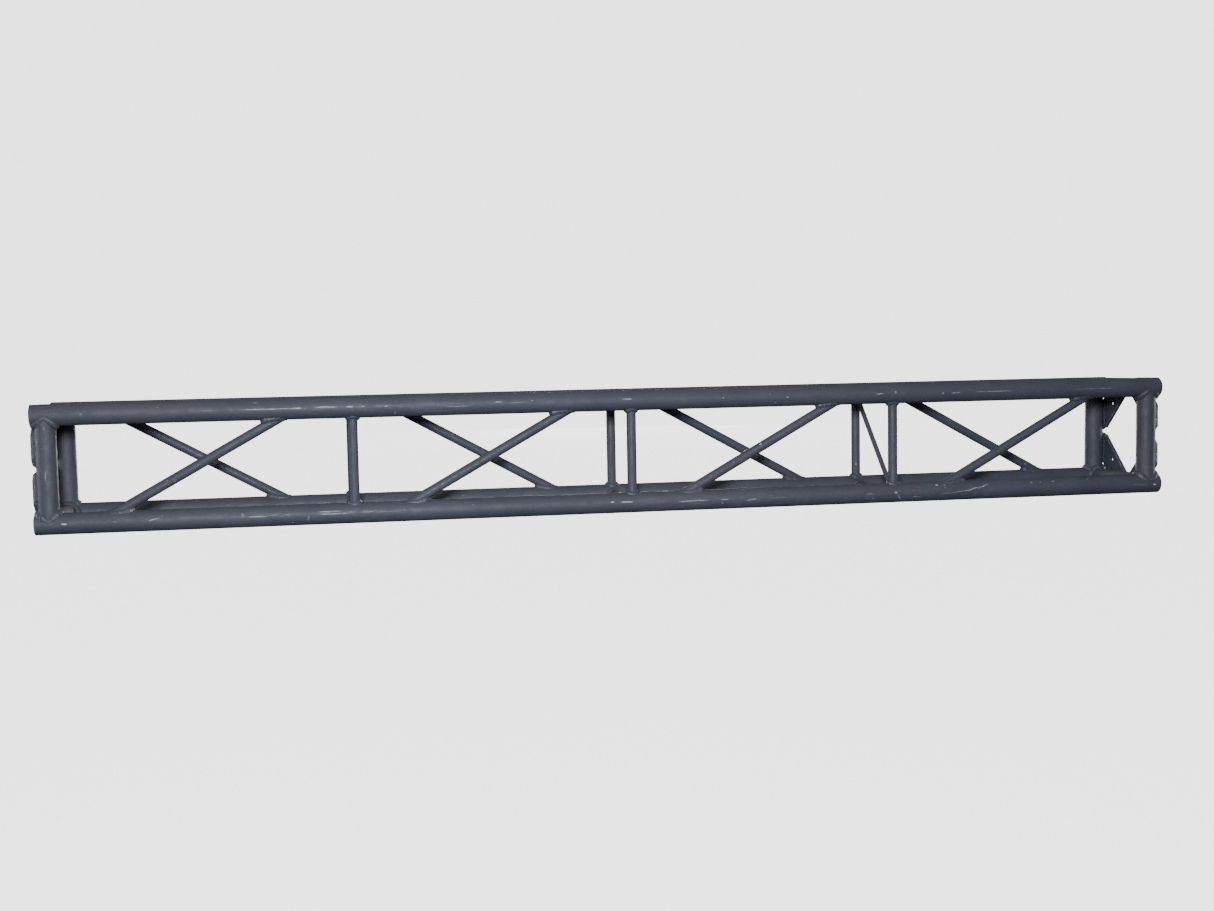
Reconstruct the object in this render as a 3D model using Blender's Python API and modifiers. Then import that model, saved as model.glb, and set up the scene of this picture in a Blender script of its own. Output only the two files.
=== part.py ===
"""Lighting truss section: a welded, square box truss with bolted end plates.

X runs along the truss, -Y is the front face and +Z is up.  The origin is in
the middle of the truss, on the surface that its two lower chords lie on.
"""
import math

import bpy
from mathutils import Matrix, Vector

# Driving dimensions, in metres
LENGTH = 2.848  # overall, from end plate face to end plate face
SECTION = 0.3048  # overall width and height, 12 in
PANEL_PITCH = 0.684  # between the middle panel points
CHORD_OD = 0.0508  # 2 in tube
END_TUBE_OD = 0.0483  # 1.9 in tube: posts and rails of the end frames
HEAVY_WALL = 0.0032
BRACE_OD = 0.024  # lacing
BRACE_WALL = 0.0025
STAY_OD = 0.0127  # 1/2 in rod across the inside
PLATE_THICKNESS = 0.0095
PLATE_PROUD = 0.002  # plate face beyond the sawn ends of the chords
DIAGONAL_RUN = 0.460  # along X, between the chords' centre lines
GAP = 0.0003  # between pieces that touch

# End plate outline, measured from the centre line of its chord
PLATE_REACH = 0.118  # along the post and along the rail
PLATE_OVERHANG = 0.003  # of its outer edges, beyond the centre lines of the post and the rail
PLATE_TIP = 0.016  # from those centre lines to where the long edge starts
PLATE_TIP_CORNER = 0.014  # cut off each tip's outer corner
PLATE_CORNER = 0.0445  # cut off the corner at the chord, along each centre line
PLATE_ROUNDING = 0.002
HOLE_PLACE = 0.049  # of the bolt hole, along the post and along the rail
HOLE_DIAMETER = 0.0175

CHORD_SIDES = 32
BRACE_SIDES = 20
STAY_SIDES = 12
CUTTER_SIDES = 48
HOLE_SIDES = 20
ARC_STEPS = 3
SMOOTH_ANGLE = math.radians(40)

CHORD_RADIUS = CHORD_OD / 2
CHORD_Y = SECTION / 2 - CHORD_RADIUS
CHORD_Z = {"bottom": CHORD_RADIUS, "top": SECTION - CHORD_RADIUS}
FACE_Y = {"front": -CHORD_Y, "back": CHORD_Y}
PLATE_X = LENGTH / 2 - PLATE_THICKNESS / 2
POST_X = LENGTH / 2 - PLATE_THICKNESS - GAP - END_TUBE_OD / 2
END_SIGN = {"left": -1, "right": 1}
PANEL_X = (-PANEL_PITCH, 0.0, PANEL_PITCH)
BAY_EDGES = (-POST_X,) + PANEL_X + (POST_X,)
STAYED_PANELS = (1, 3)

PAINT = {
    "chord_paint": (0.060, 0.066, 0.085),
    "lacing_paint": (0.052, 0.057, 0.073),
    "plate_paint": (0.056, 0.060, 0.076),
}


def clear_scene():
    """Remove every object that the scene starts with."""
    for obj in list(bpy.data.objects):
        bpy.data.objects.remove(obj, do_unlink=True)


def make_collection(name):
    """Return a new collection in the scene."""
    collection = bpy.data.collections.new(name)
    bpy.context.scene.collection.children.link(collection)
    return collection


def make_material(name, colour):
    """Return a satin paint."""
    material = bpy.data.materials.new(name)
    material.use_nodes = True
    shader = material.node_tree.nodes["Principled BSDF"]
    shader.inputs["Base Color"].default_value = (*colour, 1.0)
    shader.inputs["Roughness"].default_value = 0.45
    shader.inputs["Metallic"].default_value = 0.15
    return material


def move_to(obj, collection):
    """Keep an object in one collection only."""
    for owner in list(obj.users_collection):
        owner.objects.unlink(obj)
    collection.objects.link(obj)


def lay_along(obj, start, end):
    """Place an object that was made along Z so that it runs from start to end."""
    obj.location = (start + end) / 2
    obj.rotation_mode = "QUATERNION"
    obj.rotation_quaternion = (end - start).to_track_quat("Z", "Y")


def add_cylinder(name, start, end, radius, sides, caps):
    """Add a cylinder, with or without end caps, from start to end."""
    bpy.ops.mesh.primitive_cylinder_add(
        vertices=sides,
        radius=radius,
        depth=(end - start).length,
        end_fill_type="NGON" if caps else "NOTHING",
    )
    obj = bpy.context.object
    obj.name = name
    lay_along(obj, start, end)
    obj.data.shade_smooth()
    obj.data.set_sharp_from_angle(angle=SMOOTH_ANGLE)
    return obj


class Truss:
    """The collections and materials that every piece needs, and the builders."""

    def __init__(self):
        self.pieces = make_collection("lighting_truss_section")
        self.cutters = make_collection("cope_cutters")
        self.materials = {name: make_material(name, rgb) for name, rgb in PAINT.items()}

    def finish(self, obj, paint, cutters=()):
        """Paint a piece and cope it to the tubes that it meets."""
        obj.data.materials.append(self.materials[paint])
        move_to(obj, self.pieces)
        for cutter in cutters:
            cope = obj.modifiers.new("Cope " + cutter.name, "BOOLEAN")
            cope.operation = "DIFFERENCE"
            cope.solver = "EXACT"
            cope.object = cutter
        return obj

    def tube(self, name, start, end, size, paint, cutters=()):
        """Add a round tube; size is its outer diameter, wall and sides."""
        diameter, wall, sides = size
        obj = add_cylinder(name, start, end, diameter / 2, sides, caps=False)
        shell = obj.modifiers.new("Wall", "SOLIDIFY")
        shell.thickness = wall
        shell.offset = -1
        shell.use_even_offset = True
        return self.finish(obj, paint, cutters)

    def rod(self, name, start, end, cutters):
        """Add a solid stay."""
        obj = add_cylinder(name, start, end, STAY_OD / 2, STAY_SIDES, caps=True)
        return self.finish(obj, "lacing_paint", cutters)

    def cutter(self, name, start, end, diameter):
        """Add the outside of a tube, enlarged by the fitting gap."""
        radius = (diameter / 2 + GAP) / math.cos(math.pi / CUTTER_SIDES)
        obj = add_cylinder(name, start, end, radius, CUTTER_SIDES, caps=True)
        obj.display_type = "WIRE"
        obj.hide_render = True
        move_to(obj, self.cutters)
        return obj


CHORD_SIZE = (CHORD_OD, HEAVY_WALL, CHORD_SIDES)
END_TUBE_SIZE = (END_TUBE_OD, HEAVY_WALL, CHORD_SIDES)
BRACE_SIZE = (BRACE_OD, BRACE_WALL, BRACE_SIDES)


def on_chord(level, face, x):
    """Return the point of a chord's centre line at x."""
    return Vector((x, FACE_Y[face], CHORD_Z[level]))


def add_chords(truss):
    """Add the four chords; return a cutter for each, by level and face."""
    end_x = LENGTH / 2 - PLATE_PROUD
    cutters = {}
    for level in CHORD_Z:
        for face in FACE_Y:
            start = on_chord(level, face, -end_x)
            end = on_chord(level, face, end_x)
            name = f"chord_{level}_{face}"
            truss.tube(name, start, end, CHORD_SIZE, "chord_paint")
            cutters[level, face] = truss.cutter(name + "_cutter", start, end, CHORD_OD)
    return cutters


def add_end_frames(truss, chord_cutters):
    """Add the posts and the rails at both ends, coped to the chords and to each other."""
    for side, sign in END_SIGN.items():
        x = sign * POST_X
        post_cutters = {}
        for face in FACE_Y:
            low = on_chord("bottom", face, x)
            high = on_chord("top", face, x)
            ends = (chord_cutters["bottom", face], chord_cutters["top", face])
            name = f"end_post_{side}_{face}"
            truss.tube(name, low, high, END_TUBE_SIZE, "chord_paint", ends)
            post_cutters[face] = truss.cutter(name + "_cutter", low, high, END_TUBE_OD)
        for level in CHORD_Z:
            near = on_chord(level, "front", x)
            far = on_chord(level, "back", x)
            ends = [chord_cutters[level, face] for face in FACE_Y] + list(post_cutters.values())
            truss.tube(f"end_rail_{side}_{level}", near, far, END_TUBE_SIZE, "chord_paint", ends)


def add_panel_points(truss, chord_cutters):
    """Add the verticals and cross struts at the panel points, and the stays inside."""
    for number, x in enumerate(PANEL_X, start=1):
        for face in FACE_Y:
            ends = [chord_cutters[level, face] for level in CHORD_Z]
            low = on_chord("bottom", face, x)
            high = on_chord("top", face, x)
            truss.tube(f"vertical_{face}_{number}", low, high, BRACE_SIZE, "lacing_paint", ends)
        for level in CHORD_Z:
            ends = [chord_cutters[level, face] for face in FACE_Y]
            near = on_chord(level, "front", x)
            far = on_chord(level, "back", x)
            truss.tube(f"cross_strut_{level}_{number}", near, far, BRACE_SIZE, "lacing_paint", ends)
        if number in STAYED_PANELS:
            ends = (chord_cutters["bottom", "front"], chord_cutters["top", "back"])
            low = on_chord("bottom", "front", x)
            high = on_chord("top", "back", x)
            truss.rod(f"inner_stay_{number}", low, high, ends)


# The front and back faces are laced.  Each diagonal runs to the right from the
# first level to the second, and its middle is shifted from the middle of its bay
LACED_FACES = {
    "front": ("bottom", "top", -0.0115),
    "back": ("top", "bottom", -0.0155),
}


def add_diagonals(truss, chord_cutters):
    """Add one diagonal in each bay of the front and back faces."""
    for number, edges in enumerate(zip(BAY_EDGES, BAY_EDGES[1:]), start=1):
        for face, (first, second, shift) in LACED_FACES.items():
            middle = sum(edges) / 2 + shift
            start = on_chord(first, face, middle - DIAGONAL_RUN / 2)
            end = on_chord(second, face, middle + DIAGONAL_RUN / 2)
            ends = [chord_cutters[level, face] for level in CHORD_Z]
            truss.tube(f"diagonal_{face}_{number}", start, end, BRACE_SIZE, "lacing_paint", ends)


def round_corners(points, radius):
    """Replace each corner of a closed outline with a short arc."""
    outline = []
    for index, corner in enumerate(points):
        before = (points[index - 1] - corner).normalized()
        after = (points[(index + 1) % len(points)] - corner).normalized()
        half = before.angle(after) / 2
        centre = corner + (before + after).normalized() * radius / math.sin(half)
        first = corner + before * radius / math.tan(half) - centre
        last = corner + after * radius / math.tan(half) - centre
        for step in range(ARC_STEPS + 1):
            spoke = first.lerp(last, step / ARC_STEPS).normalized()
            outline.append(centre + spoke * radius)
    return outline


def plate_outline():
    """Return one end plate's outline, from its chord's centre, going inwards."""
    half = [
        (-PLATE_OVERHANG, PLATE_CORNER + PLATE_OVERHANG),
        (-PLATE_OVERHANG, PLATE_REACH - PLATE_TIP_CORNER),
        (PLATE_TIP_CORNER - PLATE_OVERHANG, PLATE_REACH),
        (PLATE_TIP, PLATE_REACH),
    ]
    mirrored = [(v, u) for u, v in reversed(half)]
    return round_corners([Vector(point) for point in half + mirrored], PLATE_ROUNDING)


def hole_outline():
    """Return the bolt hole in an end plate."""
    centre = Vector((HOLE_PLACE, HOLE_PLACE))
    turns = [math.tau * step / HOLE_SIDES for step in range(HOLE_SIDES)]
    return [centre + Vector((math.cos(a), math.sin(a))) * HOLE_DIAMETER / 2 for a in turns]


def add_spline(curve, points):
    """Add a closed polyline to a flat curve."""
    spline = curve.splines.new("POLY")
    spline.points.add(len(points) - 1)
    for target, point in zip(spline.points, points):
        target.co = (point.x, point.y, 0.0, 1.0)
    spline.use_cyclic_u = True


def add_plates(truss):
    """Add the eight end plates, one in each corner of each end frame."""
    upright = Matrix(((0, 0, 1), (1, 0, 0), (0, 1, 0))).to_4x4()
    for side, sign in END_SIGN.items():
        for level, z in CHORD_Z.items():
            for face, y in FACE_Y.items():
                inwards_y = 1 if face == "front" else -1
                inwards_z = 1 if level == "bottom" else -1
                curve = bpy.data.curves.new(f"end_plate_{side}_{level}_{face}", "CURVE")
                curve.dimensions = "2D"
                curve.fill_mode = "BOTH"
                curve.extrude = PLATE_THICKNESS / 2
                for outline in (plate_outline(), hole_outline()):
                    turned = [Vector((p.x * inwards_y, p.y * inwards_z)) for p in outline]
                    if inwards_y != inwards_z:
                        turned.reverse()
                    add_spline(curve, turned)
                obj = bpy.data.objects.new(curve.name, curve)
                obj.matrix_world = Matrix.Translation((sign * PLATE_X, y, z)) @ upright
                truss.pieces.objects.link(obj)
                obj.data.materials.append(truss.materials["plate_paint"])


def main():
    """Build the whole truss section."""
    clear_scene()
    truss = Truss()
    chord_cutters = add_chords(truss)
    add_end_frames(truss, chord_cutters)
    add_panel_points(truss, chord_cutters)
    add_diagonals(truss, chord_cutters)
    add_plates(truss)


main()
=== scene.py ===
"""Looks for the lighting truss section: smooth coped tubes, weld beads, worn paint, light and camera.

The faceted solids of the frame are stood in for by finer pieces of the same size in the same place.
All lengths are metres in the part's own frame: X along the truss, -Y its front face, +Z up.
"""

import math

import bmesh
import bpy
from mathutils import Matrix, Vector, noise


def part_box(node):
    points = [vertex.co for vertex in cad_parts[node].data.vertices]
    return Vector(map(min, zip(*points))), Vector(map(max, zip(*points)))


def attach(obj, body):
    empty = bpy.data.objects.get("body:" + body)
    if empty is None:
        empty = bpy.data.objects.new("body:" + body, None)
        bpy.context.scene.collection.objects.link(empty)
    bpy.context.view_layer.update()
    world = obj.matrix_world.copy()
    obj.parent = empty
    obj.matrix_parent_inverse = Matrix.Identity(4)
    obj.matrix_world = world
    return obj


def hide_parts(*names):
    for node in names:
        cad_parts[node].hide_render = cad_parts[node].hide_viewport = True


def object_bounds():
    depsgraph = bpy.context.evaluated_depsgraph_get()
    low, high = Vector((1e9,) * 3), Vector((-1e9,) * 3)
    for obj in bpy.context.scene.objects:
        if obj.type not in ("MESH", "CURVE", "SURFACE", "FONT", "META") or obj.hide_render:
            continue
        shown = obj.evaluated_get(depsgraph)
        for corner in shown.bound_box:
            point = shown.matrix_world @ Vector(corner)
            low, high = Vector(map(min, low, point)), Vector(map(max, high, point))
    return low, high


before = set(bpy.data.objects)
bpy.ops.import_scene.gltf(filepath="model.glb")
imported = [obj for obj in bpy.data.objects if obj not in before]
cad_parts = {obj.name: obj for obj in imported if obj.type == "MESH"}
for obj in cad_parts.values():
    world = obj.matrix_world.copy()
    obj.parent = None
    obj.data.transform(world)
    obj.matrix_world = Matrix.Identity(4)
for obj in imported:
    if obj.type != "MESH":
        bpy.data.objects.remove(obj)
CAD_LOW, CAD_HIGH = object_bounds()

MM = 0.001
BODY = "root"
LEVELS = ("bottom", "top")
FACES = ("front", "back")
SIDES = {"left": -1, "right": 1}
PANELS = (1, 2, 3)
STAYED_PANELS = (1, 3)
BAYS = (1, 2, 3, 4)

# Sizes that a solid's outer box doesn't give
HEAVY_WALL = 3.2 * MM
BRACE_WALL = 2.5 * MM
DIAGONAL_RUN = 460 * MM  # along X, between the chords' centre lines

# End plate outline, from the centre line of its chord: along the post or rail, and away from it
PLATE_TIP = 16 * MM  # from the post's centre line to where the long edge starts
PLATE_TIP_CORNER = 14 * MM  # cut off each tip's outer corner
PLATE_CORNER = 44.5 * MM  # cut off the corner at the chord
PLATE_ROUNDING = 2 * MM
PLATE_BEVEL = 0.6 * MM
PLATE_WORN_EDGE = 1.7 * MM  # how far the wear of an edge reaches
HOLE_PLACE = 49 * MM
HOLE_RADIUS = 8.75 * MM
HOLE_BEVEL = 0.3  # of the bevel and the wear of the outer edges

# How finely round things are cut
CHORD_SIDES = 96
CHORD_STEP = 12 * MM
TUBE_SIDES = 72
BRACE_SIDES = 48
ROD_SIDES = 32
HOLE_SIDES = 48
SMOOTH_ANGLE = math.radians(38)

# Weld beads: the leg is the length of the fillet along each surface
POST_LEG = 9.0 * MM
BRACE_LEG = 6.4 * MM
ROD_LEG = 3.6 * MM
PLATE_LEG = 6.0 * MM
GROOVE_TOES = (10.5 * MM, 15.5 * MM)  # of the bead between tube and plate: on the tube, on the plate
RIPPLE = 2.8 * MM  # from one ripple of a bead to the next
RIPPLE_HEIGHT = 0.06  # as a share of the bead's size
BEAD_STEP = 0.7 * MM  # from one cut through a bead to the next
BEAD_ARC = 7  # points across a bead's face
FLAT_NARROWING = 20  # how fast a bead narrows where its two surfaces meet almost flat
WIDEST_SPREAD = 1.8  # of a bead where its two surfaces meet at a sharp angle
BEAD_SWELL = 0.12  # of its face, as a share of its width
BEAD_CROWN = 0.3 * MM  # of its face, on top of that
BEAD_LUMPS = 0.20  # as a share of its size
COARSE_LUMPS = 95  # a metre
FINE_LUMPS = 240  # a metre
FINE_LUMP_SHARE = 0.6  # of the coarse ones' height
MEAN_RIPPLE = 0.64
BEAD_END = 4.5 * MM  # how long an open bead takes to reach its full size
TOE_SINK = 0.4 * MM  # how far a bead's edges sink into the tubes
ROOT_SINK = 2.0 * MM
EDGE_TOE = 0.8  # how far up its edge a plate's outer bead reaches, as a share of the thickness
EDGE_START = 7 * MM  # of that bead, beyond PLATE_CORNER
GROOVE_START = 3 * MM  # of the inner bead, beyond the plate's edge there
GROOVE_END = 1 * MM  # of the inner bead, short of the plate's tip
TIP_STEPS = 10  # in each rounded corner of a plate's tip

# Wear of the chords
WAVE_DEPTH = 0.10 * MM
WAVES = 9  # a metre
DING_DEPTH = 2.2 * MM
DINGS = 21  # a metre, if none were left out
DING_RARITY = 0.52  # the higher, the fewer dings
DING_SHIFT = Vector((7, 3, 1))  # so that dings don't follow the waves
BURR = 0.6 * MM  # cut off the edges of a chord's ends
BORE_EDGE_WEAR = 0.6

# Linear colours
COOL_PAINT = (0.0375, 0.0422, 0.0630, 1.0)
WARM_PAINT = (0.0405, 0.0420, 0.0600, 1.0)
SCUFF = (0.12, 0.14, 0.18, 1.0)
# Bare metal, also the colour of the painted glints: painted highlights
BARE_METAL_AND_GLINT = (0.60, 0.63, 0.70, 1.0)
DUST = (0.060, 0.062, 0.070, 1.0)
SKY = (0.95, 0.97, 1.0, 1.0)
FLOOR = (0.04, 0.04, 0.04, 1.0)
FLOOR_LIGHT = (1.0, 1.0, 1.0, 1.0)

# Known marks: nicks in the paint, and glints painted bright, which are painted highlights
MARK_JITTER = Vector((5.0, 0.0, 1.0)) * MM  # how far the outline of each nick and painted glint wanders
MARK_DEPTH = 25 * MM  # how far each nick and painted glint reaches into the tube that it is on

# Nicks and scrapes on the front chords, and glint lines along their highlight band painted bright: painted
# highlights. Each has its X in metres, its height on the chord in degrees from the side, its length and width
# in millimetres, its slope in degrees, and how much of bare metal's colour it takes
LOWER_NICKS_AND_GLINTS = (
    (-1.353, 3, 17, 5.0, 0, 1.0),
    (-1.240, 5, 12, 3.0, 0, 0.2),
    (-1.150, 12, 36, 3.5, 14, 0.45),
    (-1.000, 4, 26, 2.5, 0, 0.15),
    (-0.948, 14, 14, 8.0, -60, 0.18),
    (-0.912, 4, 62, 3.0, 0, 0.55),
    (-0.795, -14, 8, 16.0, 0, 0.15),
    (-0.745, 18, 80, 3.0, 0, 0.45),
    (-0.735, 4, 95, 4.0, 0, 0.50),
    (-0.655, 8, 40, 3.0, 0, 0.25),
    (-0.056, 11, 15, 4.0, 0, 0.8),
    (-0.020, 9, 42, 6.0, 0, 0.55),
    (0.150, 1, 105, 3.0, 1, 0.65),
    (0.230, 3, 30, 3.0, 0, 0.45),
    (0.225, -18, 7, 5.0, 0, 0.7),
    (0.300, -4, 34, 3.0, 8, 0.45),
    (0.370, 2, 66, 2.5, 0, 0.20),
    (0.615, 2, 34, 3.0, 0, 0.35),
    (0.605, -24, 5, 4.0, 0, 0.35),
    (0.622, -24, 5, 4.0, 0, 0.35),
    (0.682, 4, 12, 7.0, 0, 0.45),
    (0.692, -24, 18, 4.0, -50, 0.40),
    (0.740, -25, 36, 4.0, -8, 0.20),
    (0.795, 41, 11, 4.5, 0, 0.55),
    (0.816, 41, 7, 4.0, 0, 0.35),
    (0.820, -10, 60, 2.0, 3, 0.30),
    (0.858, -2, 64, 2.0, 8, 0.45),
    (0.890, 9, 56, 2.2, 14, 0.70),
    (0.920, 23, 50, 2.2, 20, 0.65),
    (1.055, 34, 9, 3.5, 20, 0.50),
    (1.080, 36, 8, 3.0, 20, 0.40),
    (1.116, 38, 9, 3.0, 25, 0.45),
    (1.215, 45, 8, 3.0, 10, 0.25),
    (1.360, -3, 60, 2.0, -3, 0.20),
    (1.401, -4, 13, 5.0, 8, 0.75),
)
UPPER_NICKS_AND_GLINTS = (
    (-1.305, 2, 16, 2.5, 40, 0.20),
    (-1.020, 3, 40, 2.5, 0, 0.15),
    (-0.910, 43, 14, 5.0, 0, 0.15),
    (-0.880, 4, 150, 3.0, 0, 0.55),
    (-0.815, 4, 34, 4.5, 0, 0.70),
    (-0.745, 7, 66, 6.0, 0, 0.40),
    (-0.690, 6, 22, 6.0, 0, 0.75),
    (-0.658, 6, 10, 4.5, 0, 0.60),
    (-0.602, 3, 10, 4.5, 0, 0.50),
    (-0.430, -7, 80, 2.5, 0, 0.25),
    (-0.333, 11, 32, 4.5, 5, 0.50),
    (-0.290, 5, 60, 3.0, 0, 0.20),
    (-0.250, 14, 7, 4.0, 0, 0.35),
    (-0.015, 9, 34, 5.0, 0, 0.45),
    (0.230, 3, 8, 3.5, 0, 0.40),
    (0.396, -4, 9, 5.0, 0, 0.45),
    (0.640, 2, 34, 3.5, 0, 0.50),
    (0.682, 9, 8, 9.0, 0, 0.40),
    (0.810, -3, 9, 5.0, 0, 0.45),
    (0.845, -3, 32, 3.0, 0, 0.40),
    (0.950, 0, 140, 2.5, 0, 0.35),
    (1.225, 0, 150, 2.0, 0, 0.22),
)

# Painted highlights: bright specks standing in for glints on a post, the lacing and its beads. X, Y and Z in
# metres, then as above
PAINTED_GLINT_SPECKS = (
    (-1.390, -0.152, 0.137, 34, 2.5, 90, 0.35),
    (-1.388, -0.152, 0.250, 14, 3.0, 80, 0.20),
    (0.330, -0.139, 0.161, 7, 5.0, 30, 0.80),
    (0.680, 0.115, 0.083, 6, 6.0, 0, 0.60),
    (-1.203, -0.139, 0.052, 12, 8.0, 0, 0.40),
    (1.178, 0.115, 0.067, 9, 6.0, 0, 0.40),
)

# Camera: angles in radians, lens and sensor in millimetres
CAMERA_PLACE = Vector((-0.7421, -3.5124, 0.3723))
CAMERA_YAW = 0.1614  # towards +X from straight along +Y
CAMERA_PITCH = -0.0740
CAMERA_ROLL = -0.0212
CAMERA_LENS = 41.38
CAMERA_SENSOR = 36.0
CAMERA_SHIFT = (0.0419, 0.0101)
CAMERA_NEAR = 0.05

# Lamps that face the truss: the place, size and power of each
LAMPS = {
    "key": (Vector((-0.80, -3.5, 0.76)), 0.40, 190),
    "overhead": (Vector((-0.6, -0.2, 3.6)), 3.0, 12),
    "back": (Vector((0.9, 4.4, 0.45)), 1.5, 190),
    "end_left": (Vector((-4.8, 0.5, 0.6)), 1.2, 90),
    "end_right": (Vector((4.8, 0.5, 0.6)), 1.2, 90),
}

# Sky, floor and backdrop
SKY_GLOW = 0.26
GROUND_GLOW = 0.04
HORIZON = (-0.3, 0.5)  # between these heights of the view the ground's glow turns into the sky's
FLOOR_GLOW = 2.9
FLOOR_RADIUS = 7.0
FLOOR_RINGS = (0.02, 0.25, 0.5, 0.75, 1.0)  # as shares of the floor's radius
SWEEP_RADIUS = 3.0
SWEEP_STEPS = 12
WALL_TOP = 7.0
STAGE_SIDES = 96


# ---------------------------------------------------------------- meshes


def inside_box(point):
    """Keep a point inside the CAD part's box."""
    return Vector(min(max(p, low), high) for p, low, high in zip(point, CAD_LOW, CAD_HIGH))


class Shell:
    """The points and faces of one closed body.

    Each point also has its place in the piece's own grain, along it and across it, and how far it
    lies on a worn edge, from 0 to 1.
    """

    def __init__(self):
        self.points = []
        self.grain = []
        self.edge = []
        self.faces = []

    def add_rings(self, rings, lay, worn=None, closed=False):
        """Skin a row of rings with the same number of points, and return each ring's indices."""
        start = len(self.points)
        count = len(rings[0])
        self.points += [point for ring in rings for point in ring]
        self.grain += [place for ring in lay for place in ring]
        self.edge += [value for value in worn or [0.0] * len(rings) for _ in range(count)]
        indices = [range(start + row * count, start + (row + 1) * count) for row in range(len(rings))]
        pairs = list(zip(indices, indices[1:]))
        if closed:
            pairs.append((indices[-1], indices[0]))
        for low, high in pairs:
            for here in range(count):
                there = (here + 1) % count
                self.faces.append((low[here], low[there], high[there], high[here]))
        return indices

    def add_fan(self, ring):
        """Close a ring with a fan of triangles."""
        middle = len(self.points)
        self.points.append(sum((self.points[index] for index in ring), Vector()) / len(ring))
        self.grain.append(sum((self.grain[index] for index in ring), Vector()) / len(ring))
        self.edge.append(0.0)
        for here in range(len(ring)):
            self.faces.append((ring[here], ring[(here + 1) % len(ring)], middle))

    def mesh(self, name, holed_caps=()):
        """Return the mesh, with outward faces, smooth except at real edges.

        A holed cap is a pair of flat rings, one inside the other, and is filled between them.
        """
        mesh = bpy.data.meshes.new(name)
        mesh.from_pydata(self.points, [], self.faces)
        attribute = mesh.attributes.new("grain", "FLOAT_VECTOR", "POINT")
        attribute.data.foreach_set("vector", [value for place in self.grain for value in place])
        attribute = mesh.attributes.new("edge", "FLOAT", "POINT")
        attribute.data.foreach_set("value", self.edge)
        work = bmesh.new()
        work.from_mesh(mesh)
        for cap in holed_caps:
            rim = {index for ring in cap for index in ring}
            edges = [edge for edge in work.edges if edge.is_boundary and edge.verts[0].index in rim]
            bmesh.ops.triangle_fill(work, edges=edges, use_beauty=True)
        bmesh.ops.recalc_face_normals(work, faces=work.faces)
        work.to_mesh(mesh)
        work.free()
        mesh.shade_smooth()
        mesh.set_sharp_from_angle(angle=SMOOTH_ANGLE)
        return mesh


def join_meshes(name, meshes):
    """Return one mesh that holds several, each a closed body of its own."""
    work = bmesh.new()
    for mesh in meshes:
        work.from_mesh(mesh)
    joined = bpy.data.meshes.new(name)
    work.to_mesh(joined)
    work.free()
    joined.set_sharp_from_angle(angle=SMOOTH_ANGLE)
    for mesh in meshes:
        bpy.data.meshes.remove(mesh)
    return joined


def add_piece(name, mesh, material, slot, *nodes):
    """Put a mesh in the scene as a piece that rides on the truss and stands for some CAD nodes."""
    mesh.name = name
    obj = bpy.data.objects.new(name, mesh)
    bpy.context.scene.collection.objects.link(obj)
    mesh.materials.append(material)
    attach(obj, BODY)
    if nodes:
        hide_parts(*nodes)


# ---------------------------------------------------------------- tubes


class Round:
    """An endless round surface: a point on its centre line, its direction and its radius."""

    def __init__(self, point, direction, radius):
        self.point = point
        self.direction = direction
        self.radius = radius

    def across(self, vector):
        """Return a vector's part that is square to the centre line."""
        return vector - self.direction * vector.dot(self.direction)

    def exit(self, point, direction):
        """Return how far from a point, along a direction, a line leaves the round surface."""
        gap = self.across(point - self.point)
        step = self.across(direction)
        half = gap.dot(step)
        root = half * half - step.length_squared * (gap.length_squared - self.radius**2)
        if root < 0:
            return -math.inf
        return (math.sqrt(root) - half) / step.length_squared

    def normal(self, point):
        """Return the outward direction at a point."""
        return self.across(point - self.point).normalized()

    def onto(self, point):
        """Return the place on the surface that is nearest to a point."""
        out = self.across(point - self.point)
        return point + out.normalized() * (self.radius - out.length)


class Member(Round):
    """A tube or rod between two centre lines, coped to the round surfaces at its ends."""

    def __init__(self, start, end, radius, start_hosts, end_hosts):
        super().__init__(start, (end - start).normalized(), radius)
        self.ends = ((start, self.direction, start_hosts), (end, -self.direction, end_hosts))
        self.side = self.direction.orthogonal().normalized()
        self.up = self.direction.cross(self.side)

    def spoke(self, turn):
        """Return the outward direction at a share of a turn round the member."""
        angle = math.tau * turn
        return self.side * math.cos(angle) + self.up * math.sin(angle)

    def foot(self, end, turn, radius=None):
        """Return where a line along the member meets its hosts, and the host that it meets."""
        origin, inwards, hosts = self.ends[end]
        start = origin + self.spoke(turn) * (radius or self.radius)
        reach, host = max(((host.exit(start, inwards), host) for host in hosts), key=lambda pair: pair[0])
        return start + inwards * reach, host

    def grain(self, point):
        """Return a point's place along and across the member."""
        out = point - self.point
        return Vector((out.dot(self.direction), out.dot(self.side), out.dot(self.up)))


def member_mesh(name, member, wall, sides):
    """Return a coped tube, or a coped rod if it has no wall."""
    turns = [here / sides for here in range(sides)]
    rings = [[member.foot(end, turn)[0] for turn in turns] for end in (0, 1)]
    if wall:
        bore = member.radius - wall
        rings += [[member.foot(end, turn, bore)[0] for turn in turns] for end in (1, 0)]
    lay = [[member.grain(point) for point in ring] for ring in rings]
    shell = Shell()
    indices = shell.add_rings(rings, lay, closed=bool(wall))
    if not wall:
        shell.add_fan(indices[0])
        shell.add_fan(indices[-1])
    return shell.mesh(name)


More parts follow.
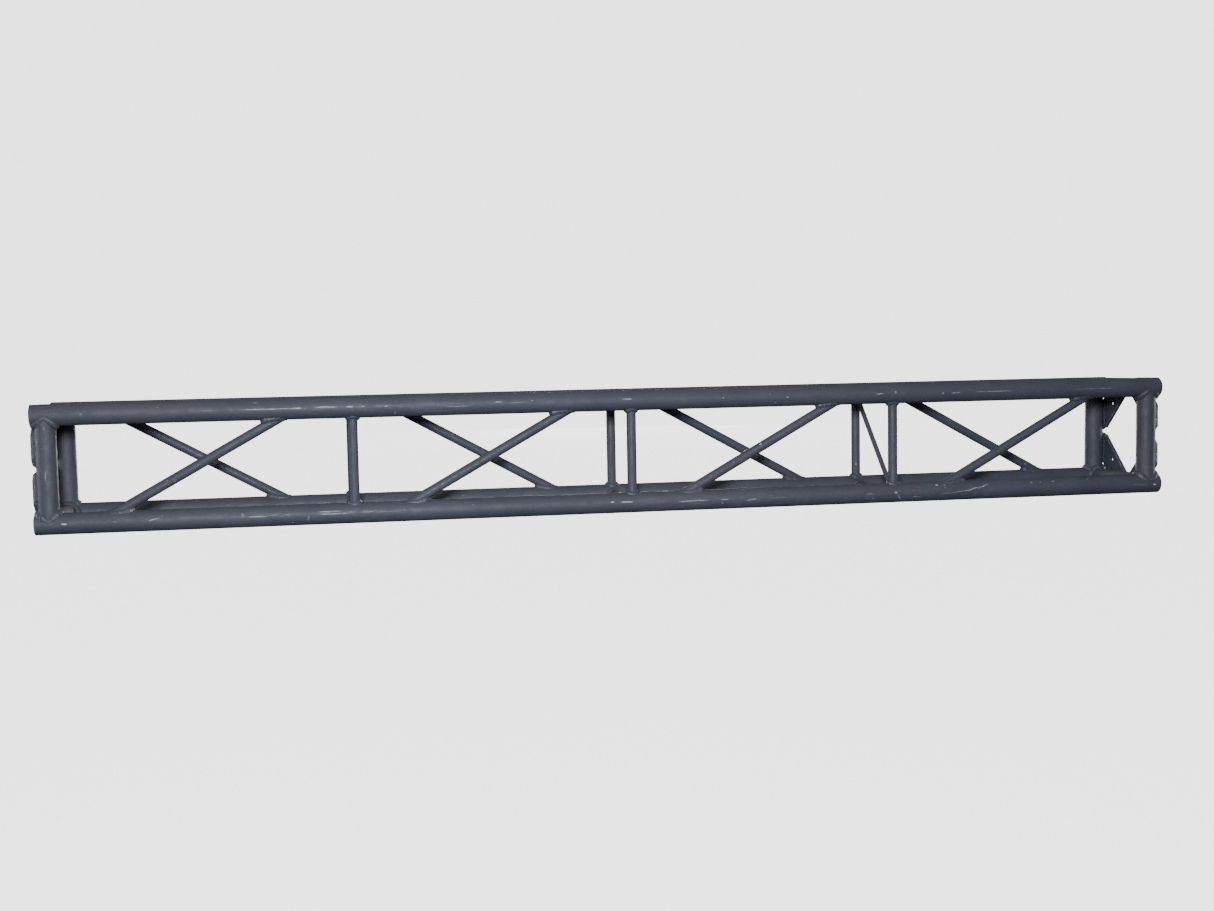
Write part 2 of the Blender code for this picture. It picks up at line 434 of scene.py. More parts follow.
def chord_mesh(name, chord, low_x, high_x):
    """Return a chord: an open, deburred tube with faint dings and waves in its surface."""
    steps = round((high_x - low_x) / CHORD_STEP)
    bore = chord.radius - HEAVY_WALL
    skin_low = low_x + 4 * BURR
    skin_high = high_x - 4 * BURR
    profile = [(low_x, chord.radius - BURR, 1.0), (low_x + BURR, chord.radius, 1.0)]
    for step in range(steps + 1):
        profile.append((skin_low + (skin_high - skin_low) * step / steps, chord.radius, 0.0))
    profile += [(high_x - BURR, chord.radius, 1.0), (high_x, chord.radius - BURR, 1.0)]
    profile += [(high_x, bore + BURR, BORE_EDGE_WEAR), (high_x - BURR, bore, BORE_EDGE_WEAR)]
    profile += [(high_x - 5 * BURR, bore, 0.0), (low_x + 5 * BURR, bore, 0.0)]
    profile += [(low_x + BURR, bore, BORE_EDGE_WEAR), (low_x, bore + BURR, BORE_EDGE_WEAR)]
    rings = []
    for x, radius, _ in profile:
        ring = []
        for here in range(CHORD_SIDES):
            angle = math.tau * here / CHORD_SIDES
            out = Vector((0, math.cos(angle), math.sin(angle)))
            depth = surface_wear(Vector((x, 0, 0)) + chord.point + out * radius)
            ring.append(Vector((x, chord.point.y, chord.point.z)) + out * (radius - depth))
        rings.append(ring)
    lay = [[Vector((p.x, p.y - chord.point.y, p.z - chord.point.z)) for p in ring] for ring in rings]
    shell = Shell()
    shell.add_rings(rings, lay, [edge for _, _, edge in profile], closed=True)
    return shell.mesh(name)


def surface_wear(point):
    """Return how deep a chord's surface lies below its true round: shallow waves and a few dings."""
    wave = 0.5 + 0.5 * noise.noise(point * WAVES)
    ding = max(0.0, noise.noise(point * DINGS + DING_SHIFT) - DING_RARITY)
    return WAVE_DEPTH * wave + DING_DEPTH * ding


# ---------------------------------------------------------------- end plates


class Corner:
    """The place of an end plate: across and along its post from its chord's centre, and outwards."""

    def __init__(self, side, level, face):
        self.node = f"end_plate_{side}_{level}_{face}"
        low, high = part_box(self.node)
        self.thickness = high.x - low.x
        self.outwards = SIDES[side]
        self.middle_x = (low.x + high.x) / 2
        self.inner_x = self.middle_x - self.outwards * self.thickness / 2
        self.chord = CHORDS[level, face].point
        self.into_y = 1 if face == "front" else -1
        self.into_z = 1 if level == "bottom" else -1
        self.overhang = self.into_y * (self.chord.y - (low.y if face == "front" else high.y))
        self.reach = high.y - low.y - self.overhang

    def place(self, across, along, depth):
        """Return a point from the middle of the plate's thickness."""
        y = self.chord.y + self.into_y * across
        z = self.chord.z + self.into_z * along
        return Vector((self.middle_x + self.outwards * depth, y, z))

    def outline(self, inset=0.0, steps=6):
        """Return the plate's outline with rounded corners, inset by a little."""
        half = [
            (-self.overhang, PLATE_CORNER + self.overhang),
            (-self.overhang, self.reach - PLATE_TIP_CORNER),
            (PLATE_TIP_CORNER - self.overhang, self.reach),
            (PLATE_TIP, self.reach),
        ]
        corners = [Vector(point) for point in half + [(v, u) for u, v in reversed(half)]]
        ring = []
        for index, corner in enumerate(corners):
            before = (corners[index - 1] - corner).normalized()
            after = (corners[(index + 1) % len(corners)] - corner).normalized()
            half_angle = before.angle(after) / 2
            centre = corner + (before + after).normalized() * PLATE_ROUNDING / math.sin(half_angle)
            first = (corner + before * PLATE_ROUNDING / math.tan(half_angle) - centre).normalized()
            last = (corner + after * PLATE_ROUNDING / math.tan(half_angle) - centre).normalized()
            for step in range(steps + 1):
                spoke = first.lerp(last, step / steps).normalized()
                ring.append(centre + spoke * (PLATE_ROUNDING - inset))
        return ring


def plate_mesh(name, corner):
    """Return an end plate with a bolt hole, its edges broken and worn."""
    face = corner.thickness / 2
    half = [
        (PLATE_WORN_EDGE, face, 0.0),
        (PLATE_BEVEL, face, 1.0),
        (0.3 * PLATE_BEVEL, face - 0.3 * PLATE_BEVEL, 1.0),
        (0.0, face - PLATE_BEVEL, 1.0),
        (0.0, face - PLATE_WORN_EDGE, 0.0),
    ]
    profile = half + [(inset, -depth, edge) for inset, depth, edge in reversed(half)]
    turns = [math.tau * step / HOLE_SIDES for step in range(HOLE_SIDES)]
    centre = Vector((HOLE_PLACE, HOLE_PLACE))
    rims = []
    shell = Shell()
    for is_hole in (False, True):
        rings = []
        for inset, depth, _ in profile:
            if is_hole:
                radius = HOLE_RADIUS + HOLE_BEVEL * inset
                ring = [centre + Vector((math.cos(turn), math.sin(turn))) * radius for turn in turns]
            else:
                ring = corner.outline(inset)
            rings.append([corner.place(point.x, point.y, depth) for point in ring])
        indices = shell.add_rings(rings, rings, [edge for _, _, edge in profile])
        rims.append((indices[0], indices[-1]))
    return shell.mesh(name, holed_caps=list(zip(*rims)))


# ---------------------------------------------------------------- weld beads


def bead_size(point, travel):
    """Return how full a bead is at a point: ripples along its travel, and slower lumps."""
    ripple = abs(math.sin(math.pi * travel / RIPPLE)) - MEAN_RIPPLE
    lump = noise.noise(point * COARSE_LUMPS) + FINE_LUMP_SHARE * noise.noise(point * FINE_LUMPS)
    return 1 + RIPPLE_HEIGHT * ripple + BEAD_LUMPS * lump


def bead_mesh(name, cuts, closed):
    """Skin a bead from its cuts.

    Each cut is a foot deep in the joint, a toe on one surface, a toe on the other, and the travel.
    """
    rings = []
    lay = []
    for foot, toe, other, travel in cuts:
        outwards = ((toe - foot).normalized() + (other - foot).normalized()).normalized()
        full = bead_size(foot, travel)
        toe = foot + (toe - foot) * full
        other = foot + (other - foot) * full
        bulge = (BEAD_SWELL * (toe - other).length + BEAD_CROWN) * full
        ring = []
        for step in range(BEAD_ARC):
            share = step / (BEAD_ARC - 1)
            swell = outwards * (bulge * math.sin(math.pi * share) - TOE_SINK)
            ring.append(inside_box(toe.lerp(other, share) + swell))
        ring.append(inside_box(foot - outwards * ROOT_SINK))
        rings.append(ring)
        lay.append([Vector((travel, step * MM, 0)) for step in range(len(ring))])
    shell = Shell()
    indices = shell.add_rings(rings, lay, closed=closed)
    if not closed:
        shell.add_fan(indices[0])
        shell.add_fan(indices[-1])
    return shell.mesh(name)


def joint_bead(name, member, end, leg):
    """Return the bead all round the foot of a member."""
    around = math.tau * member.radius
    ripples = round(around / RIPPLE)
    stations = ripples * round(RIPPLE / BEAD_STEP)
    cuts = []
    for station in range(stations):
        turn = station / stations
        foot, host = member.foot(end, turn)
        wall = member.spoke(turn)
        ground = host.normal(foot)
        up_wall = (ground - wall * ground.dot(wall)).normalized()
        along_ground = (wall - ground * ground.dot(wall)).normalized()
        opening = up_wall.angle(along_ground)
        spread = math.sin(math.pi / 4) / math.sin(opening / 2)
        reach = leg * min(WIDEST_SPREAD, spread)
        if spread < 1:
            reach = leg * (1 - FLAT_NARROWING * (1 - spread) ** 3)
        toe = member.onto(foot + up_wall * reach)
        other = host.onto(foot + along_ground * reach)
        cuts.append((foot, toe, other, turn * ripples * RIPPLE))
    return bead_mesh(name, cuts, closed=True)


def even_steps(path):
    """Return points evenly along a path of points, with the distance travelled at each."""
    spans = [(after - before).length for before, after in zip(path, path[1:])]
    total = sum(spans)
    stations = max(4, round(total / BEAD_STEP))
    places = []
    index = 0
    passed = 0.0
    for station in range(stations + 1):
        travel = total * station / stations
        while index < len(spans) - 1 and travel > passed + spans[index]:
            passed += spans[index]
            index += 1
        places.append((path[index].lerp(path[index + 1], (travel - passed) / spans[index]), travel))
    return places


def open_bead(name, cuts):
    """Return a bead with rounded ends from its full cuts."""
    total = cuts[-1][3]
    tapered = []
    for foot, toe, other, travel in cuts:
        to_tip = min(travel, total - travel)
        share = math.sqrt(min(1.0, (to_tip + TOE_SINK) / BEAD_END))
        tapered.append((foot, foot.lerp(toe, share), foot.lerp(other, share), travel))
    return bead_mesh(name, tapered, closed=False)


class Seam:
    """Where an end plate lies on its post, or on its rail if across and along are swapped."""

    def __init__(self, corner, tube_radius, swap):
        self.corner = corner
        self.radius = tube_radius
        self.swap = swap

    def at(self, across, along, x):
        """Return a point over the tube."""
        spot = self.corner.place(*((along, across) if self.swap else (across, along)), 0.0)
        spot.x = x
        return spot

    def tube_x(self, across):
        """Return where the tube's surface lies beneath a point of the plate."""
        outwards = self.corner.outwards
        middle = self.corner.inner_x - outwards * self.radius
        return middle + outwards * math.sqrt(self.radius**2 - across**2)

    def edge_bead(self):
        """Return the bead round the plate's outer edge and its tip."""
        corner = self.corner
        on_tip = [p for p in corner.outline(steps=TIP_STEPS) if p.x < PLATE_TIP and p.y > 2 * PLATE_CORNER]
        steps = even_steps([Vector((-corner.overhang, PLATE_CORNER + EDGE_START))] + on_tip)
        cuts = []
        for index, (point, travel) in enumerate(steps):
            before = steps[max(index - 1, 0)][0]
            after = steps[min(index + 1, len(steps) - 1)][0]
            along = (after - before).normalized()
            away = point + Vector((-along.y, along.x)) * PLATE_LEG
            foot = self.at(point.x, point.y, (corner.inner_x + self.tube_x(point.x)) / 2)
            toe = self.at(point.x, point.y, corner.inner_x + corner.outwards * EDGE_TOE * corner.thickness)
            cuts.append((foot, toe, self.at(away.x, away.y, self.tube_x(away.x)), travel))
        return open_bead(corner.node, cuts)

    def groove_bead(self):
        """Return the bead in the groove between plate and tube, on the plate's inner side."""
        corner = self.corner
        on_tube, on_plate = GROOVE_TOES
        start = Vector((0, PLATE_CORNER - on_tube + GROOVE_START))
        end = Vector((0, corner.reach - GROOVE_END))
        cuts = []
        for point, travel in even_steps([start, end]):
            foot = self.at(on_tube / 2, point.y, (corner.inner_x + self.tube_x(on_tube / 2)) / 2)
            toe = self.at(on_tube, point.y, self.tube_x(on_tube))
            cuts.append((foot, toe, self.at(on_plate, point.y, corner.inner_x), travel))
        return open_bead(corner.node, cuts)


def plate_beads(corner, tube_radius):
    """Return the beads that hold an end plate to its post and to its rail."""
    seams = [Seam(corner, tube_radius, swap) for swap in (False, True)]
    return [bead for seam in seams for bead in (seam.edge_bead(), seam.groove_bead())]


# ---------------------------------------------------------------- materials


class Graph:
    """A material's node tree, with short ways to add what every finish needs."""

    def __init__(self, name):
        self.material = bpy.data.materials.new(name)
        self.material.use_nodes = True
        self.tree = self.material.node_tree
        self.shader = self.tree.nodes["Principled BSDF"]

    def add(self, kind, **settings):
        """Add a node and set its properties."""
        node = self.tree.nodes.new(kind)
        for key, value in settings.items():
            setattr(node, key, value)
        return node

    def feed(self, socket, value):
        """Link a socket to an output, or set it to a plain value."""
        if isinstance(value, bpy.types.NodeSocket):
            self.tree.links.new(value, socket)
        else:
            socket.default_value = value

    def math(self, operation, first, second, clamp=False):
        """Add one step of arithmetic."""
        node = self.add("ShaderNodeMath", operation=operation, use_clamp=clamp)
        self.feed(node.inputs[0], first)
        self.feed(node.inputs[1], second)
        return node.outputs[0]

    def ramp(self, value, low, high, to_low=0.0, to_high=1.0):
        """Map a value from one range to another, smoothly and no further."""
        node = self.add("ShaderNodeMapRange", interpolation_type="SMOOTHSTEP")
        for socket, number in zip(node.inputs, (value, low, high, to_low, to_high)):
            self.feed(socket, number)
        return node.outputs[0]

    def mix(self, share, first, second):
        """Mix two colours."""
        node = self.add("ShaderNodeMix", data_type="RGBA")
        self.feed(node.inputs["Factor"], share)
        self.feed(node.inputs["A"], first)
        self.feed(node.inputs["B"], second)
        return node.outputs["Result"]

    def stretch(self, vector, scale, turn=0.0):
        """Scale a place by a different amount along each axis, and turn it about Z."""
        node = self.add("ShaderNodeMapping", vector_type="POINT")
        self.feed(node.inputs["Vector"], vector)
        node.inputs["Rotation"].default_value = (0.0, 0.0, turn)
        node.inputs["Scale"].default_value = scale
        return node.outputs[0]

    def noise(self, vector, scale, detail=3.0, rough=0.5):
        """Add a noise of some scale, in waves a metre, that varies round 0.5."""
        node = self.add("ShaderNodeTexNoise")
        self.feed(node.inputs["Vector"], vector)
        node.inputs["Scale"].default_value = scale
        node.inputs["Detail"].default_value = detail
        node.inputs["Roughness"].default_value = rough
        return node.outputs["Fac"]

    def streaks(self, grain, along, across, detail=2.0, rough=0.5, turn=0.0):
        """Add a noise with its own number of waves a metre along and across a piece's grain."""
        return self.noise(self.stretch(grain, (along, across, across), turn), 1, detail, rough)


def worn_paint(name, wear=1.0, lumps=1.0, shine=0.0, nicks_and_glints=()):
    """Return worn, satin slate paint.

    Wear and lumps scale its scuffs and its unevenness, and shine takes that much off its roughness. The
    listed nicks and glints are laid on in bare metal's colour; the glints among them are painted highlights.
    """
    g = Graph(name)
    place = g.add("ShaderNodeTexCoord").outputs["Object"]
    grain = g.add("ShaderNodeAttribute", attribute_name="grain").outputs["Vector"]
    rub = rub_marks(g, place, grain, wear)
    dust = settled_dust(g, place)
    bare_and_glint = worn_bare(g, place, grain, wear)
    # Listed nicks, and glints painted in bare metal's colour: painted highlights
    if nicks_and_glints:
        bare_and_glint = g.math("MAXIMUM", bare_and_glint, nick_and_glint_marks(g, place, grain, nicks_and_glints))
    paint = g.mix(rub, mottled_paint(g, place), SCUFF)
    paint = g.mix(dust, paint, DUST)
    g.feed(g.shader.inputs["Base Color"], g.mix(bare_and_glint, paint, BARE_METAL_AND_GLINT))
    add_gloss(g, place, grain, rub, dust, shine)
    add_relief(g, place, rub, bare_and_glint, lumps)
    return g.material


def mottled_paint(g, place):
    """Return the paint's colour: a slow drift between a cool and a warm slate, and a fine mottle."""
    drift = g.ramp(g.noise(place, 2.2), 0.42, 0.66)
    cloud = g.ramp(g.noise(place, 9, 4, 0.55), 0.3, 0.7, 0.90, 1.12)
    speck = g.ramp(g.noise(place, 420, 3, 0.6), 0.3, 0.7, 0.86, 1.14)
    tone = g.add("ShaderNodeVectorMath", operation="SCALE")
    g.feed(tone.inputs[0], g.mix(drift, COOL_PAINT, WARM_PAINT))
    g.feed(tone.inputs["Scale"], g.math("MULTIPLY", cloud, speck))
    return tone.outputs[0]


def rub_marks(g, place, grain, wear):
    """Return how rubbed the paint is, in zones: a haze along the tube, hair scratches and dashes."""
    zone = g.ramp(g.noise(place, 3.7, 2), 0.44, 0.62)
    haze = g.ramp(g.streaks(grain, 14, 520, 4, 0.7), 0.55, 0.72)
    hair = g.ramp(g.streaks(grain, 30, 1500, turn=0.08), 0.64, 0.72)
    dash = g.ramp(g.streaks(grain, 75, 420, 3, 0.6), 0.62, 0.72)
    rub = g.math("MAXIMUM", g.math("MULTIPLY", haze, 0.45), g.math("MAXIMUM", hair, dash))
    return g.math("MULTIPLY", g.math("MULTIPLY", zone, rub), 0.6 * wear, clamp=True)


def settled_dust(g, place):
    """Return how much dust lies on a point: none but on what faces up, and patchy there."""
    facing = g.add("ShaderNodeSeparateXYZ")
    g.feed(facing.inputs[0], g.add("ShaderNodeNewGeometry").outputs["Normal"])
    upward = g.ramp(facing.outputs["Z"], 0.2, 1.0)
    patches = g.ramp(g.noise(place, 30, 5, 0.7), 0.35, 0.75, 0.10, 0.45)
    return g.math("MULTIPLY", upward, patches)


def worn_bare(g, place, grain, wear):
    """Return how bare the metal is: small ragged chips here and there, and worn edges."""
    cell = g.add("ShaderNodeTexVoronoi", feature="F1")
    g.feed(cell.inputs["Vector"], g.stretch(grain, (60, 190, 190)))
    cell.inputs["Scale"].default_value = 1.0
    lot = g.add("ShaderNodeSeparateColor")
    g.feed(lot.inputs[0], cell.outputs["Color"])
    ragged = g.ramp(g.noise(place, 520, 3, 0.7), 0.3, 0.7, -0.14, 0.14)
    spot = g.ramp(g.math("ADD", cell.outputs["Distance"], ragged), 0.06, 0.16, 1.0, 0.0)
    chip = g.math("MULTIPLY", spot, g.ramp(lot.outputs[0], 0.95, 0.97))
    chip = g.math("MULTIPLY", chip, g.ramp(g.noise(place, 5.3, 2), 0.46, 0.58, 0.0, 0.5))
    edge = g.ramp(g.add("ShaderNodeAttribute", attribute_name="edge").outputs["Fac"], 0.0, 0.9)
    edge = g.math("MULTIPLY", edge, g.ramp(g.noise(place, 95, 5, 0.7), 0.47, 0.62, 0.0, 0.6))
    return g.math("MULTIPLY", g.math("MAXIMUM", chip, edge), wear, clamp=True)


def nick_and_glint_marks(g, place, grain, nicks_and_glints):
    """Return how much of bare metal's colour the listed nicks and painted glints (painted highlights) take,
    ragged and broken into fine lines.
    """
    jitter = g.add("ShaderNodeTexNoise")
    g.feed(jitter.inputs["Vector"], place)
    jitter.inputs["Scale"].default_value = 300.0
    shift = g.add("ShaderNodeVectorMath", operation="MULTIPLY_ADD")
    g.feed(shift.inputs[0], jitter.outputs["Color"])
    shift.inputs[1].default_value = MARK_JITTER
    shift.inputs[2].default_value = -MARK_JITTER / 2
    ragged = g.add("ShaderNodeVectorMath", operation="ADD")
    g.feed(ragged.inputs[0], place)
    g.feed(ragged.inputs[1], shift.outputs[0])
    marks = 0.0
    for mark in nicks_and_glints:
        marks = g.math("MAXIMUM", marks, nick_and_glint_mask(g, ragged.outputs[0], *mark))
    broken = g.ramp(g.streaks(grain, 60, 1100, 3, 0.7), 0.40, 0.60, 0.15, 1.0)
    return g.math("MULTIPLY", marks, broken)


def nick_and_glint_mask(g, place, middle, length, width, slope, mark_share):
    """Return one listed mark, an oval as seen from the front: its share of bare metal's colour inside, and 0
    outside. The marks are nicks and painted highlights.
    """
    node = g.add("ShaderNodeMapping", vector_type="TEXTURE")
    g.feed(node.inputs["Vector"], place)
    node.inputs["Location"].default_value = middle
    node.inputs["Rotation"].default_value = (0.0, -math.radians(slope), 0.0)
    node.inputs["Scale"].default_value = (length * MM / 2, MARK_DEPTH, width * MM / 2)
    ball = g.add("ShaderNodeTexGradient", gradient_type="SPHERICAL")
    g.feed(ball.inputs["Vector"], node.outputs[0])
    return g.ramp(ball.outputs["Fac"], 0.1, 0.5, 0.0, mark_share)


def add_gloss(g, place, grain, rub, dust, shine):
    """Set the sheen: satin, duller under dust, smoother where it is rubbed, and glints in streaks."""
    dull = g.ramp(g.noise(place, 40, 4, 0.6), 0.3, 0.7, 0.58 - shine, 0.72 - shine)
    dull = g.math("ADD", dull, g.math("MULTIPLY", dust, 0.3))
    dull = g.math("SUBTRACT", dull, g.math("MULTIPLY", rub, 0.35), clamp=True)
    g.feed(g.shader.inputs["Roughness"], dull)
    g.shader.inputs["Specular IOR Level"].default_value = 0.38
    film = g.ramp(g.streaks(grain, 60, 700, 4, 0.75), 0.50, 0.68, 0.0, 0.16)
    g.feed(g.shader.inputs["Coat Weight"], film)
    g.shader.inputs["Coat Roughness"].default_value = 0.24


def add_relief(g, place, rub, bare_and_glint, lumps):
    """Set the relief: orange peel, runs in the paint, and scratches, chips and painted glints that lie lower.
    """
    peel = g.math("MULTIPLY", g.noise(place, 700, 2), 0.16 * lumps)
    run = g.math("MULTIPLY", g.noise(place, 120, 3, 0.6), 0.50 * lumps)
    low = g.math("MULTIPLY", g.math("MAXIMUM", rub, bare_and_glint), 0.15)
    bump = g.add("ShaderNodeBump")
    bump.inputs["Strength"].default_value = 0.55
    bump.inputs["Distance"].default_value = 0.8 * MM
    g.feed(bump.inputs["Height"], g.math("SUBTRACT", g.math("ADD", peel, run), low))
    g.feed(g.shader.inputs["Normal"], bump.outputs[0])


def nicks_and_glints_on(node, table):
    """Return a chord's nicks and painted glints with their places in metres."""
    chord = middle_of(node)
    radius = half_size(node, 2)
    nicks_and_glints = []
    for x, angle, *size in table:
        turn = math.radians(angle)
        place = Vector((x, chord.y - radius * math.cos(turn), chord.z + radius * math.sin(turn)))
        nicks_and_glints.append((place, *size))
    return nicks_and_glints


def make_materials():
    """Return the finishes, by use."""
    # Nicks on the front chords, and glint lines painted along their highlight band: painted highlights
    lower = nicks_and_glints_on("chord_bottom_front", LOWER_NICKS_AND_GLINTS)
    upper = nicks_and_glints_on("chord_top_front", UPPER_NICKS_AND_GLINTS)
    # Bright specks painted where glints stand: painted highlights
    painted_glint_specks = [(Vector(mark[:3]), *mark[3:]) for mark in PAINTED_GLINT_SPECKS]
    return {
        "chord": worn_paint("chord_finish", nicks_and_glints=painted_glint_specks),
        "chord_bottom_front": worn_paint("lower_chord_finish", nicks_and_glints=lower),
        "chord_top_front": worn_paint("upper_chord_finish", nicks_and_glints=upper),
        "lacing": worn_paint("lacing_finish", wear=0.6, nicks_and_glints=painted_glint_specks),
        "plate": worn_paint("plate_finish", wear=0.4, lumps=0.8),
        "weld": worn_paint("weld_finish", wear=1.5, lumps=1.6, shine=0.12, nicks_and_glints=painted_glint_specks),
    }


# ---------------------------------------------------------------- the truss


def middle_of(node):
    """Return the centre of a CAD node's box."""
    low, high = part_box(node)
    return (low + high) / 2


def half_size(node, axis):
    """Return half of a CAD node's size along one axis."""
    low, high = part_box(node)
    return (high[axis] - low[axis]) / 2


def chord_round(level, face):
    """Return a chord's outer surface."""
    node = f"chord_{level}_{face}"
    return Round(middle_of(node), Vector((1, 0, 0)), half_size(node, 2))


CHORDS = {(level, face): chord_round(level, face) for level in LEVELS for face in FACES}


def on_chord(level, face, x):
    """Return the point of a chord's centre line at x."""
    line = CHORDS[level, face].point
    return Vector((x, line.y, line.z))


def add_member(node, member, wall, sides, leg, finish, slot, materials):
    """Add a tube or rod in place of its solid, and the beads at its two feet."""
    add_piece(node + "_skin", member_mesh(node, member, wall, sides), materials[finish], slot, node)
    beads = [joint_bead(node, member, end, leg) for end in (0, 1)]
    add_piece("weld_" + node, join_meshes(node, beads), materials["weld"], slot)


def add_chords(materials):
    """Add the four chords."""
    for (level, face), chord in CHORDS.items():
        node = f"chord_{level}_{face}"
        low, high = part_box(node)
        mesh = chord_mesh(node, chord, low.x, high.x)
        add_piece(node + "_skin", mesh, materials.get(node, materials["chord"]), "chord_paint", node)


def add_end_frames(materials):
    """Add the posts and the rails of both end frames."""
    frame_tube = (HEAVY_WALL, TUBE_SIDES, POST_LEG, "chord", "chord_paint", materials)
    for side in SIDES:
        x = middle_of(f"end_post_{side}_front").x
        radius = half_size(f"end_post_{side}_front", 0)
        posts = {}
        for face in FACES:
            low = on_chord("bottom", face, x)
            high = on_chord("top", face, x)
            hosts = [[CHORDS[level, face]] for level in LEVELS]
            posts[face] = Member(low, high, radius, *hosts)
            add_member(f"end_post_{side}_{face}", posts[face], *frame_tube)
        for level in LEVELS:
            near = on_chord(level, "front", x)
            far = on_chord(level, "back", x)
            hosts = [[CHORDS[level, face], posts[face]] for face in FACES]
            add_member(f"end_rail_{side}_{level}", Member(near, far, radius, *hosts), *frame_tube)


def add_panel_points(materials):
    """Add the verticals and cross struts of the panel points, and the stays inside."""
    brace = (BRACE_WALL, BRACE_SIDES, BRACE_LEG, "lacing", "lacing_paint", materials)
    for number in PANELS:
        x = middle_of(f"vertical_front_{number}").x
        radius = half_size(f"vertical_front_{number}", 0)
        for face in FACES:
            ends = [on_chord(level, face, x) for level in LEVELS]
            hosts = [[CHORDS[level, face]] for level in LEVELS]
            add_member(f"vertical_{face}_{number}", Member(*ends, radius, *hosts), *brace)
        for level in LEVELS:
            ends = [on_chord(level, face, x) for face in FACES]
            hosts = [[CHORDS[level, face]] for face in FACES]
            add_member(f"cross_strut_{level}_{number}", Member(*ends, radius, *hosts), *brace)
        if number in STAYED_PANELS:
            node = f"inner_stay_{number}"
            ends = (on_chord("bottom", "front", x), on_chord("top", "back", x))
            hosts = ([CHORDS["bottom", "front"]], [CHORDS["top", "back"]])
            stay = Member(*ends, half_size(node, 0), *hosts)
            add_member(node, stay, 0, ROD_SIDES, ROD_LEG, "lacing", "lacing_paint", materials)


def add_diagonals(materials):
    """Add the diagonals: they rise to the right in front and fall to the right at the back."""
    brace = (BRACE_WALL, BRACE_SIDES, BRACE_LEG, "lacing", "lacing_paint", materials)
    radius = half_size("vertical_front_1", 0)
    for face, (first, second) in (("front", LEVELS), ("back", LEVELS[::-1])):
        for bay in BAYS:
            node = f"diagonal_{face}_{bay}"
            x = middle_of(node).x
            start = on_chord(first, face, x - DIAGONAL_RUN / 2)
            end = on_chord(second, face, x + DIAGONAL_RUN / 2)
            member = Member(start, end, radius, [CHORDS[first, face]], [CHORDS[second, face]])
            add_member(node, member, *brace)


def add_plates(materials):
    """Add the end plates and the beads that hold them."""
    for side in SIDES:
        for level in LEVELS:
            for face in FACES:
                corner = Corner(side, level, face)
                mesh = plate_mesh(corner.node, corner)
                add_piece(corner.node + "_skin", mesh, materials["plate"], "plate_paint", corner.node)
                beads = join_meshes(corner.node, plate_beads(corner, half_size(f"end_post_{side}_{face}", 0)))
                add_piece("weld_" + corner.node, beads, materials["weld"], "plate_paint")


# ---------------------------------------------------------------- setting


def add_camera():
    """Add the camera and look through it."""
    data = bpy.data.cameras.new("camera")
    data.sensor_fit = "HORIZONTAL"
    data.sensor_width = CAMERA_SENSOR
    data.lens = CAMERA_LENS
    data.shift_x, data.shift_y = CAMERA_SHIFT
    data.clip_start = CAMERA_NEAR
    camera = bpy.data.objects.new("camera", data)
    turn = Matrix.Rotation(-CAMERA_YAW, 4, "Z") @ Matrix.Rotation(math.pi / 2 + CAMERA_PITCH, 4, "X")
    camera.matrix_world = Matrix.Translation(CAMERA_PLACE) @ turn @ Matrix.Rotation(CAMERA_ROLL, 4, "Z")
    bpy.context.scene.collection.objects.link(camera)
    bpy.context.scene.camera = camera


def add_lamp(name, place, size, power):
    """Add a square area lamp that faces the middle of the truss."""
    data = bpy.data.lights.new(name, "AREA")
    data.size = size
    data.energy = power
    lamp = bpy.data.objects.new(name, data)
    lamp.location = place
    lamp.rotation_mode = "QUATERNION"
    lamp.rotation_quaternion = ((CAD_LOW + CAD_HIGH) / 2 - place).to_track_quat("-Z", "Y")
    bpy.context.scene.collection.objects.link(lamp)


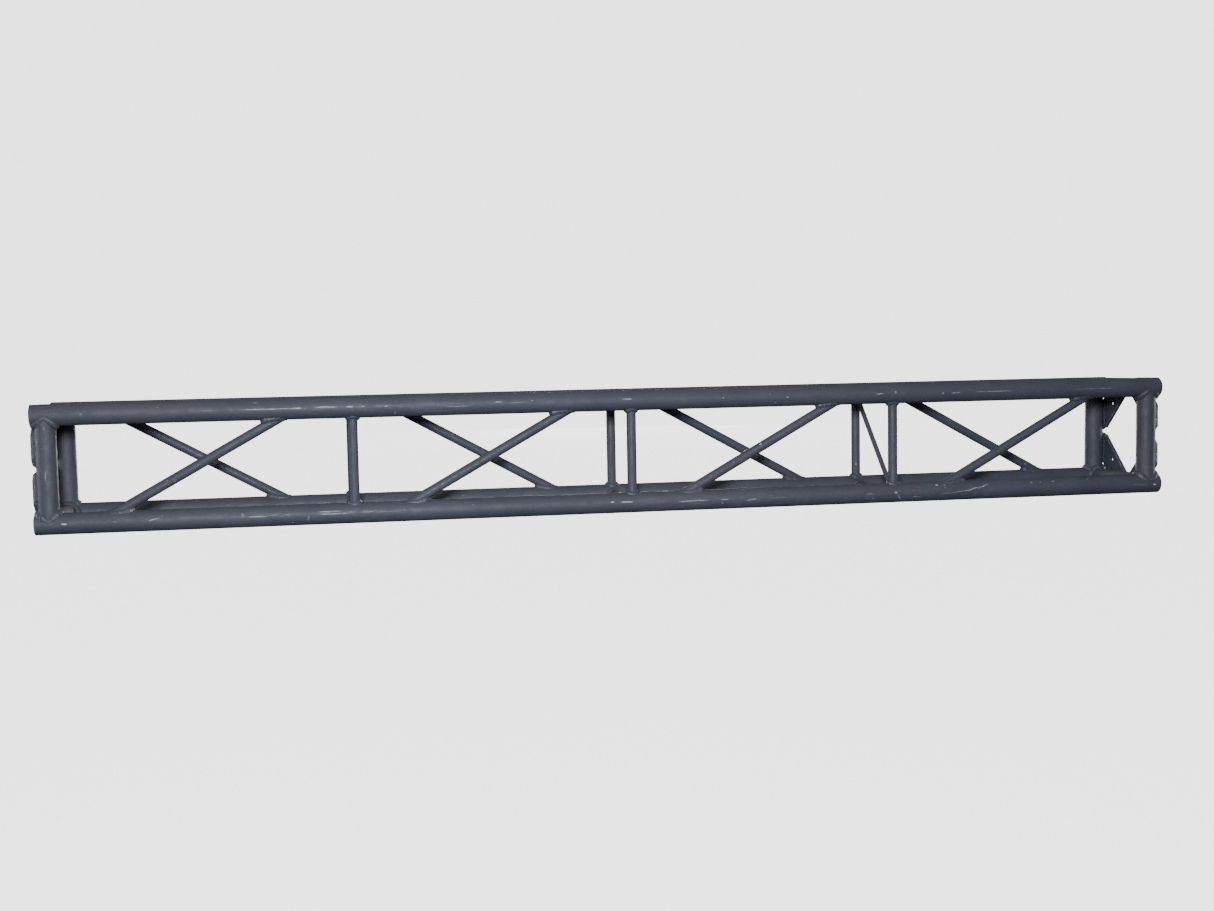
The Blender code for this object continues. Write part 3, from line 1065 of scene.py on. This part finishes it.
def add_sky():
    """Add a pale sky over a darker ground."""
    world = bpy.data.worlds.new("studio")
    world.use_nodes = True
    tree = world.node_tree
    place = tree.nodes.new("ShaderNodeTexCoord").outputs["Generated"]
    split = tree.nodes.new("ShaderNodeSeparateXYZ")
    tree.links.new(place, split.inputs[0])
    ramp = tree.nodes.new("ShaderNodeMapRange")
    tree.links.new(split.outputs["Z"], ramp.inputs["Value"])
    for socket, number in zip(ramp.inputs[1:5], (*HORIZON, GROUND_GLOW, SKY_GLOW)):
        socket.default_value = number
    background = tree.nodes["Background"]
    background.inputs["Color"].default_value = SKY
    tree.links.new(ramp.outputs[0], background.inputs["Strength"])
    bpy.context.scene.world = world


def add_stage():
    """Add a pale floor that sweeps up into a round backdrop.

    It glows evenly of its own, so that the lamps leave no patches on it, and lights nothing else.
    """
    profile = [(share * FLOOR_RADIUS, 0.0) for share in FLOOR_RINGS]
    for step in range(1, SWEEP_STEPS + 1):
        angle = math.pi / 2 * step / SWEEP_STEPS
        height = SWEEP_RADIUS * (1 - math.cos(angle))
        profile.append((FLOOR_RADIUS + SWEEP_RADIUS * math.sin(angle), height))
    profile.append((FLOOR_RADIUS + SWEEP_RADIUS, WALL_TOP))
    work = bmesh.new()
    rings = []
    for radius, height in profile:
        turns = [math.tau * here / STAGE_SIDES for here in range(STAGE_SIDES)]
        spots = [(radius * math.cos(turn), radius * math.sin(turn), CAD_LOW.z + height) for turn in turns]
        rings.append([work.verts.new(spot) for spot in spots])
    work.faces.new(rings[0])
    for low, high in zip(rings, rings[1:]):
        for here in range(STAGE_SIDES):
            there = (here + 1) % STAGE_SIDES
            work.faces.new((low[here], low[there], high[there], high[here]))
    mesh = bpy.data.meshes.new("floor")
    work.to_mesh(mesh)
    work.free()
    mesh.shade_smooth()
    floor = bpy.data.objects.new("floor", mesh)
    bpy.context.scene.collection.objects.link(floor)
    floor.visible_diffuse = False
    floor.visible_glossy = False
    g = Graph("floor_finish")
    g.shader.inputs["Base Color"].default_value = FLOOR
    g.shader.inputs["Roughness"].default_value = 0.9
    g.shader.inputs["Specular IOR Level"].default_value = 0.0
    g.shader.inputs["Emission Color"].default_value = FLOOR_LIGHT
    g.shader.inputs["Emission Strength"].default_value = FLOOR_GLOW
    mesh.materials.append(g.material)


def main():
    """Build everything in the scene."""
    materials = make_materials()
    add_chords(materials)
    add_end_frames(materials)
    add_panel_points(materials)
    add_diagonals(materials)
    add_plates(materials)
    add_camera()
    for name, (place, size, power) in LAMPS.items():
        add_lamp(name, place, size, power)
    add_sky()
    add_stage()


main()
